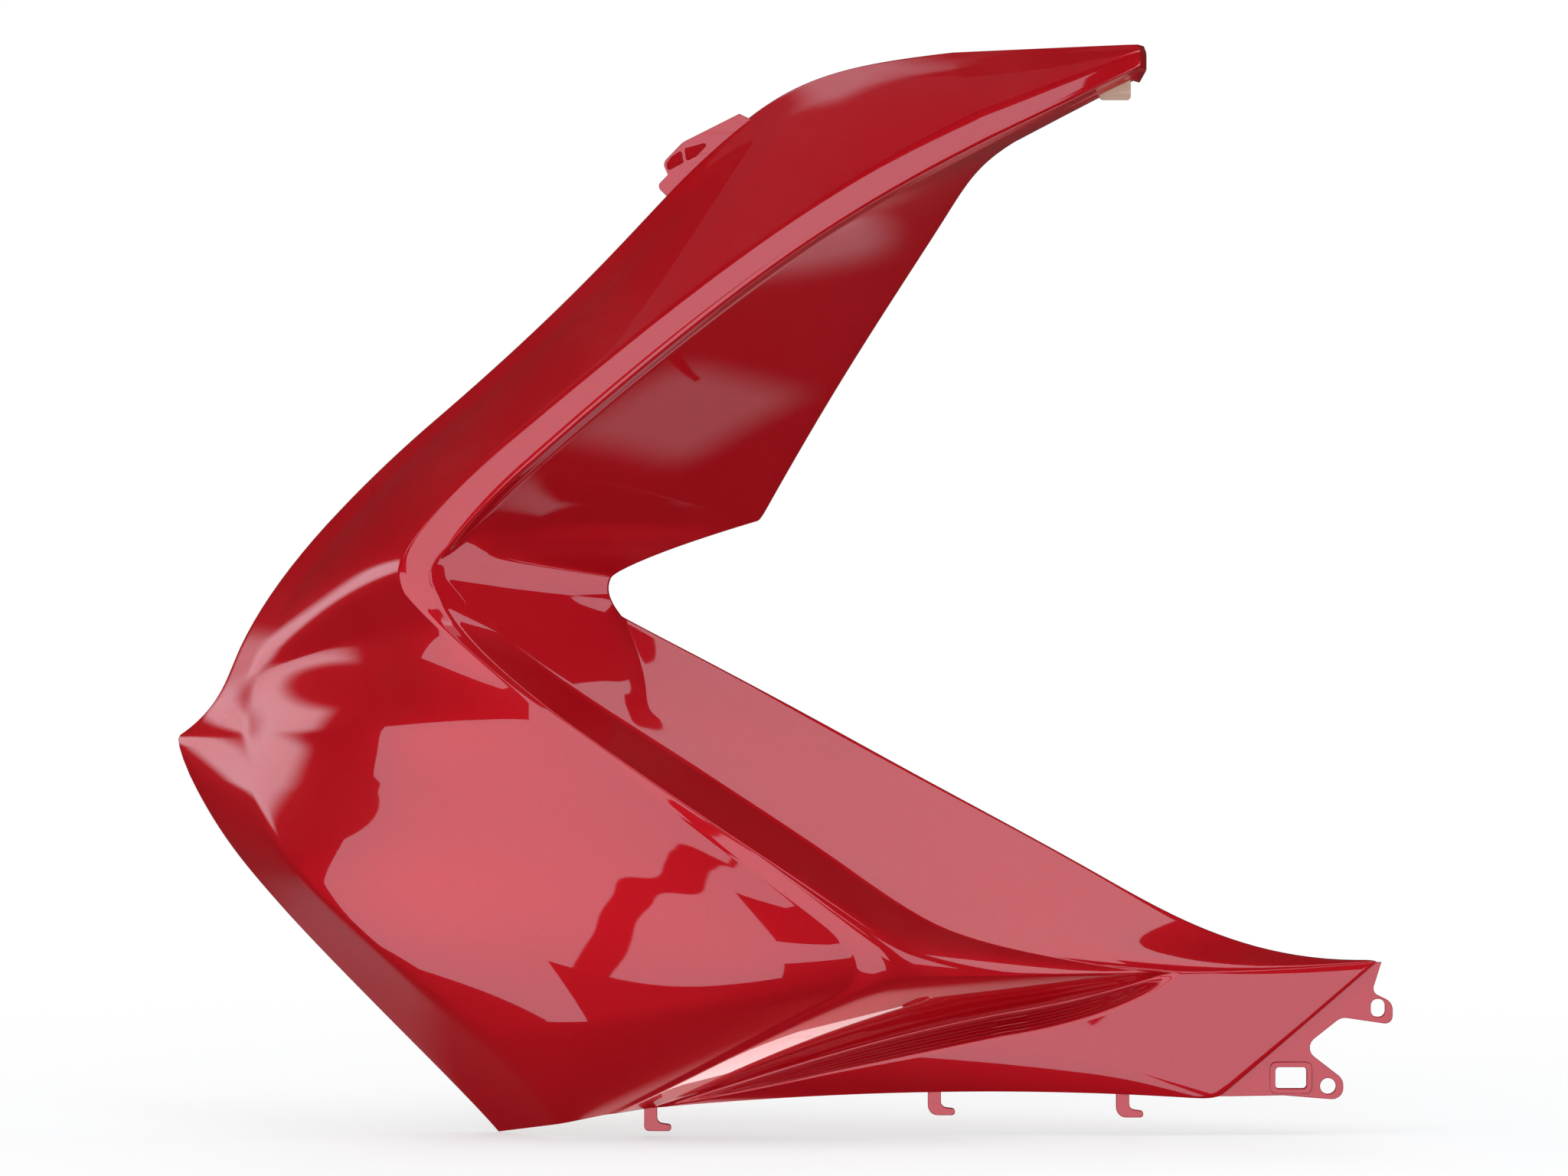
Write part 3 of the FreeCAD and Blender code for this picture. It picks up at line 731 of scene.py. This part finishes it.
def placed_group(tree, group, place, **values):
    """One of the shared effects, with this finish's own values."""
    made = node(tree, "ShaderNodeGroup", node_tree=group)
    for label, value in values.items():
        made.inputs[label].default_value = value
    tree.links.new(place, made.inputs["Vector"])
    return made


def blend_colour(tree, share, first, second):
    """Colour between the first and the second, by a share; either colour may be plain or linked."""
    made = node(tree, "ShaderNodeMix", data_type="RGBA")
    for socket, value in ((made.inputs["Factor"], share), (made.inputs[6], first), (made.inputs[7], second)):
        if isinstance(value, (tuple, float)):
            socket.default_value = value
        else:
            tree.links.new(value, socket)
    return made.outputs[2]


def lacquer_material():
    """Translucent red over a metallic ground, under a clear coat."""
    material = bpy.data.materials.new("candy_red_lacquer")
    material.use_nodes = True
    tree = material.node_tree
    link = tree.links.new
    shader = tree.nodes["Principled BSDF"]
    place = node(tree, "ShaderNodeTexCoord").outputs["Object"]
    flake = placed_group(tree, SPECKLE, place, Scale=2600.0)
    dust = placed_group(tree, DUST, place, Scale=11.0, Amount=0.02)
    marks = placed_group(tree, SCRATCHES, place, Scale=70.0, Amount=0.35)
    deep_red, light_red = (0.44, 0.0008, 0.0055, 1), (0.51, 0.0012, 0.0075, 1)
    flake_red = (0.72, 0.008, 0.016, 1)
    dust_tone, speck_tone = (0.50, 0.42, 0.38, 1), (0.62, 0.55, 0.50, 1)
    ground = blend_colour(tree, flake.outputs["Drift"], deep_red, light_red)
    lively = blend_colour(tree, ramp(tree, flake.outputs["Grain"], 0.72, 1.0, 0.0, 0.4), ground, flake_red)
    dusty = blend_colour(tree, dust.outputs["Dust"], lively, dust_tone)
    specked = blend_colour(tree, dust.outputs["Specks"], dusty, speck_tone)
    link(specked, shader.inputs["Base Color"])
    link(ramp(tree, flake.outputs["Grain"], 0.2, 1.0, 0.38, 0.66), shader.inputs["Metallic"])
    rough = node(tree, "ShaderNodeMath", operation="MULTIPLY_ADD")
    rough.inputs[1].default_value = 0.9
    link(dust.outputs["Dust"], rough.inputs[0])
    link(ramp(tree, flake.outputs["Drift"], 0.3, 0.7, 0.40, 0.46), rough.inputs[2])
    link(rough.outputs["Value"], shader.inputs["Roughness"])
    worn = node(tree, "ShaderNodeMath", operation="MAXIMUM")
    link(dust.outputs["Dust"], worn.inputs[0])
    link(marks.outputs["Scratches"], worn.inputs[1])
    link(ramp(tree, worn.outputs["Value"], 0.0, 1.0, 1.0, 0.25), shader.inputs["Coat Weight"])
    peel = node(tree, "ShaderNodeTexNoise", Scale=420.0, Detail=1.0)
    link(place, peel.inputs["Vector"])
    bump = node(tree, "ShaderNodeBump", Strength=0.06, Distance=0.0002)
    link(peel.outputs["Fac"], bump.inputs["Height"])
    link(bump.outputs["Normal"], shader.inputs["Normal"])
    shader.inputs["Specular IOR Level"].default_value = 0.1
    shader.inputs["Coat IOR"].default_value = 1.6
    shader.inputs["Coat Roughness"].default_value = 0.025
    return material


def bare_material():
    """Unpainted cream moulding with a fine grain and a mist of red near its edges."""
    material = bpy.data.materials.new("bare_cream_plastic")
    material.use_nodes = True
    tree = material.node_tree
    link = tree.links.new
    shader = tree.nodes["Principled BSDF"]
    place = node(tree, "ShaderNodeTexCoord").outputs["Object"]
    grain = placed_group(tree, SPECKLE, place, Scale=900.0)
    dust = placed_group(tree, DUST, place, Scale=16.0, Amount=0.30)
    marks = placed_group(tree, SCRATCHES, place, Scale=45.0, Amount=0.5)
    dark_cream, light_cream = (0.46, 0.285, 0.19, 1), (0.54, 0.345, 0.235, 1)
    speckle_tone, rubbed_tone = (0.38, 0.22, 0.14, 1), (0.64, 0.46, 0.34, 1)
    dust_tone, mist_red = (0.36, 0.28, 0.22, 1), (0.34, 0.010, 0.016, 1)
    flow = blend_colour(tree, grain.outputs["Drift"], dark_cream, light_cream)
    speckled = blend_colour(tree, ramp(tree, grain.outputs["Grain"], 0.8, 1.0, 0.0, 0.25), flow, speckle_tone)
    rubbed = blend_colour(tree, marks.outputs["Scratches"], speckled, rubbed_tone)
    dusty = blend_colour(tree, dust.outputs["Dust"], rubbed, dust_tone)
    near_rim = node(tree, "ShaderNodeAttribute", attribute_name="near_rim")
    mist = node(tree, "ShaderNodeTexNoise", Scale=700.0, Detail=4.0, Roughness=0.8)
    link(place, mist.inputs["Vector"])
    spread = node(tree, "ShaderNodeMath", operation="MULTIPLY_ADD")
    spread.inputs[1].default_value = 0.55
    link(mist.outputs["Fac"], spread.inputs[0])
    link(near_rim.outputs["Fac"], spread.inputs[2])
    painted = ramp(tree, spread.outputs["Value"], 0.62, 1.05)
    link(blend_colour(tree, painted, dusty, mist_red), shader.inputs["Base Color"])
    link(ramp(tree, grain.outputs["Drift"], 0.3, 0.7, 0.42, 0.58), shader.inputs["Roughness"])
    bump = node(tree, "ShaderNodeBump", Strength=0.12, Distance=0.0002)
    link(grain.outputs["Grain"], bump.inputs["Height"])
    link(bump.outputs["Normal"], shader.inputs["Normal"])
    return material


# Studio

HEART = Vector((-0.3, 0, 0.27))
AMBIENT = 0.035
FLOOR_REACH = 30.0
FLOOR_GAP = 0.0005
SKY_TINT, PANEL_TINT = (0.93, 1.0, 1.16), (0.85, 1.0, 1.12)
SKY_GLOW, SKY_DISTANCE = 2.05, 3.0
PANEL_DISTANCE, FILL_DISTANCE, FRONT_FILL_DISTANCE = 2.6, 2.8, 2.9
BAND_HALF, PANEL_BORDER = 0.13, 0.3
CAMERA_LENS, CAMERA_PLACE = 105.1, (-0.2912, -2.450, 0.2666)


def pale_world(scene):
    """White to the camera and to mirrored rays that go down behind the cover, and dim to the rest."""
    world = bpy.data.worlds.new("pale_studio")
    scene.world = world
    world.use_nodes = True
    tree = world.node_tree
    link = tree.links.new
    background = tree.nodes["Background"]
    background.inputs["Color"].default_value = (1, 1, 1, 1)
    path = node(tree, "ShaderNodeLightPath")
    ray = node(tree, "ShaderNodeTexCoord")
    low_rear = node(tree, "ShaderNodeVectorMath", operation="DOT_PRODUCT")
    low_rear.inputs[1].default_value = (0.0, 0.5, -0.866)
    link(ray.outputs["Generated"], low_rear.inputs[0])
    mirror = node(tree, "ShaderNodeMath", operation="MAXIMUM")
    link(path.outputs["Is Glossy Ray"], mirror.inputs[0])
    link(path.outputs["Is Transmission Ray"], mirror.inputs[1])
    shown = node(tree, "ShaderNodeMath", operation="MULTIPLY_ADD", use_clamp=True)
    link(mirror.outputs["Value"], shown.inputs[0])
    link(ramp(tree, low_rear.outputs["Value"], 0.8, 0.92), shown.inputs[1])
    link(path.outputs["Is Camera Ray"], shown.inputs[2])
    level = node(tree, "ShaderNodeMapRange")
    level.inputs["To Min"].default_value = AMBIENT
    link(shown.outputs["Value"], level.inputs["Value"])
    link(level.outputs["Result"], background.inputs["Strength"])


def pale_floor(scene, bottom):
    """Pale floor that turns white away from the cover and keeps its shadow near it."""
    mesh = bpy.data.meshes.new("floor")
    corners = ((-1, -1), (1, -1), (1, 1), (-1, 1))
    mesh.from_pydata([(x * FLOOR_REACH, y * FLOOR_REACH, bottom) for x, y in corners], [], [(0, 1, 2, 3)])
    floor = bpy.data.objects.new("floor", mesh)
    scene.collection.objects.link(floor)
    floor.visible_glossy = False
    floor.visible_shadow = False
    paint = bpy.data.materials.new("pale_floor")
    paint.use_nodes = True
    tree = paint.node_tree
    link = tree.links.new
    shader = tree.nodes["Principled BSDF"]
    shader.inputs["Base Color"].default_value = (0.86, 0.86, 0.86, 1)
    shader.inputs["Roughness"].default_value = 0.8
    shader.inputs["Specular IOR Level"].default_value = 0.2
    white = node(tree, "ShaderNodeEmission", Strength=1.0)
    away = node(tree, "ShaderNodeVectorMath", operation="DISTANCE")
    away.inputs[1].default_value = (HEART.x, HEART.y, bottom)
    link(node(tree, "ShaderNodeNewGeometry").outputs["Position"], away.inputs[0])
    fade = ramp(tree, away.outputs["Value"], 0.2, 1.0, 0.55, 1.0)
    mix = node(tree, "ShaderNodeMixShader")
    link(times(tree, fade, node(tree, "ShaderNodeLightPath").outputs["Is Camera Ray"]), mix.inputs["Fac"])
    link(shader.outputs["BSDF"], mix.inputs[1])
    link(white.outputs["Emission"], mix.inputs[2])
    link(mix.outputs["Shader"], tree.nodes["Material Output"].inputs["Surface"])
    mesh.materials.append(paint)


def toward(azimuth, elevation):
    """Direction at that azimuth from the camera's side and that elevation, in degrees."""
    a, e = math.radians(azimuth), math.radians(elevation)
    return Vector((math.sin(a) * math.cos(e), -math.cos(a) * math.cos(e), math.sin(e)))


def softbox(name, azimuth, elevation, distance, edges, glow, tint=(1, 1, 1), shine=True, fill=True):
    """Even panel on a plane that faces the cover; its edges are left, right, low and high on that plane."""
    out = toward(azimuth, elevation)
    right = toward(azimuth + 90, 0)
    up = out.cross(right)
    left_edge, right_edge, low_edge, high_edge = edges
    light = bpy.data.lights.new(name, "AREA")
    light.shape = "RECTANGLE"
    light.size, light.size_y = right_edge - left_edge, high_edge - low_edge
    light.energy = glow * math.pi * light.size * light.size_y
    light.color = tint
    lamp = bpy.data.objects.new(name, light)
    lamp.location = (
        HEART + out * distance + right * (left_edge + right_edge) / 2 + up * (low_edge + high_edge) / 2)
    lamp.rotation_euler = Matrix((right, up, out)).transposed().to_euler()
    lamp.visible_glossy = shine
    lamp.visible_diffuse = fill
    bpy.context.scene.collection.objects.link(lamp)
    return light


def centred(width, height):
    return (-width / 2, width / 2, -height / 2, height / 2)


def on_panel(light):
    """Node tree of a panel, its place from 0 to 1 across and up, and the socket of its strength."""
    light.use_nodes = True
    tree = light.node_tree
    split = node(tree, "ShaderNodeSeparateXYZ")
    tree.links.new(node(tree, "ShaderNodeNewGeometry").outputs["Parametric"], split.inputs["Vector"])
    return tree, split, tree.nodes["Emission"].inputs["Strength"]


def soft_border(light, share):
    """Lets a panel fade out towards its edges, over a share of its size."""
    tree, split, strength = on_panel(light)
    sides = []
    for label in "XY":
        fold = node(tree, "ShaderNodeMath", operation="PINGPONG")
        fold.inputs[1].default_value = 0.5
        tree.links.new(split.outputs[label], fold.inputs[0])
        sides.append(ramp(tree, fold.outputs["Value"], 0.0, share))
    tree.links.new(times(tree, *sides), strength)


def unlit_band(light, edges, line):
    """Dark band across a panel, along a line given by points on the panel's plane."""
    left_edge, right_edge, low_edge, high_edge = edges
    width, height = right_edge - left_edge, high_edge - low_edge
    tree, split, strength = on_panel(light)
    link = tree.links.new
    bend = node(tree, "ShaderNodeFloatCurve")
    points = bend.mapping.curves[0].points
    spots = [((y - low_edge) / height, (x - left_edge) / width) for x, y in line]
    points[0].location, points[1].location = spots[0], spots[-1]
    for spot in spots[1:-1]:
        points.new(*spot)
    for point in points:
        point.handle_type = "AUTO_CLAMPED"
    bend.mapping.update()
    link(split.outputs["Y"], bend.inputs["Value"])
    off = node(tree, "ShaderNodeMath", operation="SUBTRACT")
    link(split.outputs["X"], off.inputs[0])
    link(bend.outputs["Value"], off.inputs[1])
    away = node(tree, "ShaderNodeMath", operation="ABSOLUTE")
    link(off.outputs["Value"], away.inputs[0])
    share = BAND_HALF / width
    link(ramp(tree, away.outputs["Value"], share * 0.92, share * 1.08), strength)


def lamps():
    """A large pale panel in four parts before the cover, small panels for single faces, and soft fills."""
    sky = {}
    for name, edges in (
            ("sky_left", (-2.35, -0.2, -2.2, 0.62)), ("sky_middle", (-0.2, 1.72, -1.35, 0.62)),
            ("sky_right", (1.72, 2.3, -0.8, -0.12)), ("sky_corner", (0.5, 2.75, 0.62, 1.4))):
        sky[name] = softbox(name, -20, -6, SKY_DISTANCE, edges, SKY_GLOW, SKY_TINT), edges
    unlit_band(*sky["sky_middle"], [
        (0.1, -1.35), (0.45, -0.75), (0.63, -0.3), (0.81, 0.0), (0.94, 0.2), (1.27, 0.4), (1.42, 0.62)])
    unlit_band(*sky["sky_corner"], [(1.42, 0.62), (1.56, 0.8), (1.8, 0.96), (2.7, 1.0), (2.75, 1.4)])
    softbox("elbow_panel", -27, 21, SKY_DISTANCE, centred(1.9, 0.4), 1.1, SKY_TINT)
    softbox("leg_panel", 45, 55, PANEL_DISTANCE, centred(0.92, 1.8), 2.2, PANEL_TINT)
    softbox("ridge_panel", 46, 2, PANEL_DISTANCE, centred(0.8, 1.8), 2.0, SKY_TINT)
    softbox("wing_panel", -62, 70, PANEL_DISTANCE, centred(3.0, 1.6), 0.1, SKY_TINT)
    for name, azimuth, elevation, width, height, glow in (
            ("tip_panel", -93, 11, 1.35, 0.75, 3.2), ("pocket_panel", 82.5, -37, 0.7, 0.65, 0.8),
            ("pocket_top_panel", 125, -41, 1.4, 0.7, 0.9), ("chamfer_panel", -124, -35, 2.4, 1.0, 0.2),
            ("edge_panel", -139, 66, 0.9, 0.8, 1.2)):
        panel = softbox(name, azimuth, elevation, PANEL_DISTANCE, centred(width, height), glow, PANEL_TINT)
        soft_border(panel, PANEL_BORDER)
    softbox("ledge_panel", 145, -63, PANEL_DISTANCE, centred(0.7, 0.35), 4.2, fill=False)
    for name, azimuth, elevation, distance, width, height, glow in (
            ("left_fill", -80, 42, FILL_DISTANCE, 2.0, 2.0, 3.0),
            ("right_fill", 95, 42, FILL_DISTANCE, 2.0, 2.0, 2.2),
            ("top_fill", 0, 84, FILL_DISTANCE, 2.4, 2.4, 1.8),
            ("front_fill", -10, 15, FRONT_FILL_DISTANCE, 2.4, 1.6, 0.9),
            ("rear_fill", 180, 35, FILL_DISTANCE, 2.4, 2.0, 1.8)):
        softbox(name, azimuth, elevation, distance, centred(width, height), glow, shine=False)


def view_camera(scene):
    lens = bpy.data.cameras.new("camera")
    lens.sensor_width = 36
    lens.lens = CAMERA_LENS
    camera = bpy.data.objects.new("camera", lens)
    camera.location = CAMERA_PLACE
    camera.rotation_euler = (math.pi / 2, 0, 0)
    scene.collection.objects.link(camera)
    scene.camera = camera


def studio(bottom):
    scene = bpy.context.scene
    scene.view_settings.view_transform = "Standard"
    pale_world(scene)
    pale_floor(scene, bottom)
    lamps()
    view_camera(scene)


# The cover and its studio

outer = skin_poles()
lacquer = lacquer_material()
bare = bare_material()
rows = ease_nose(skin_rows(outer, back_poles(outer)), outer[TAIL + 1, CREASE])
pieces = [skin_piece(rows, lacquer, bare), pin_mark_piece(rows, bare)]
pieces += fin_pieces(outer, lacquer) + flange_pieces(outer, lacquer) + hook_pieces(outer, lacquer)
pieces += ear_pieces(outer, lacquer) + [tongue_piece(outer, bare)]
for piece in pieces:
    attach(piece, "root")
    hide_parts("side_cover")
studio(cad_box[0][2] - FLOOR_GAP)
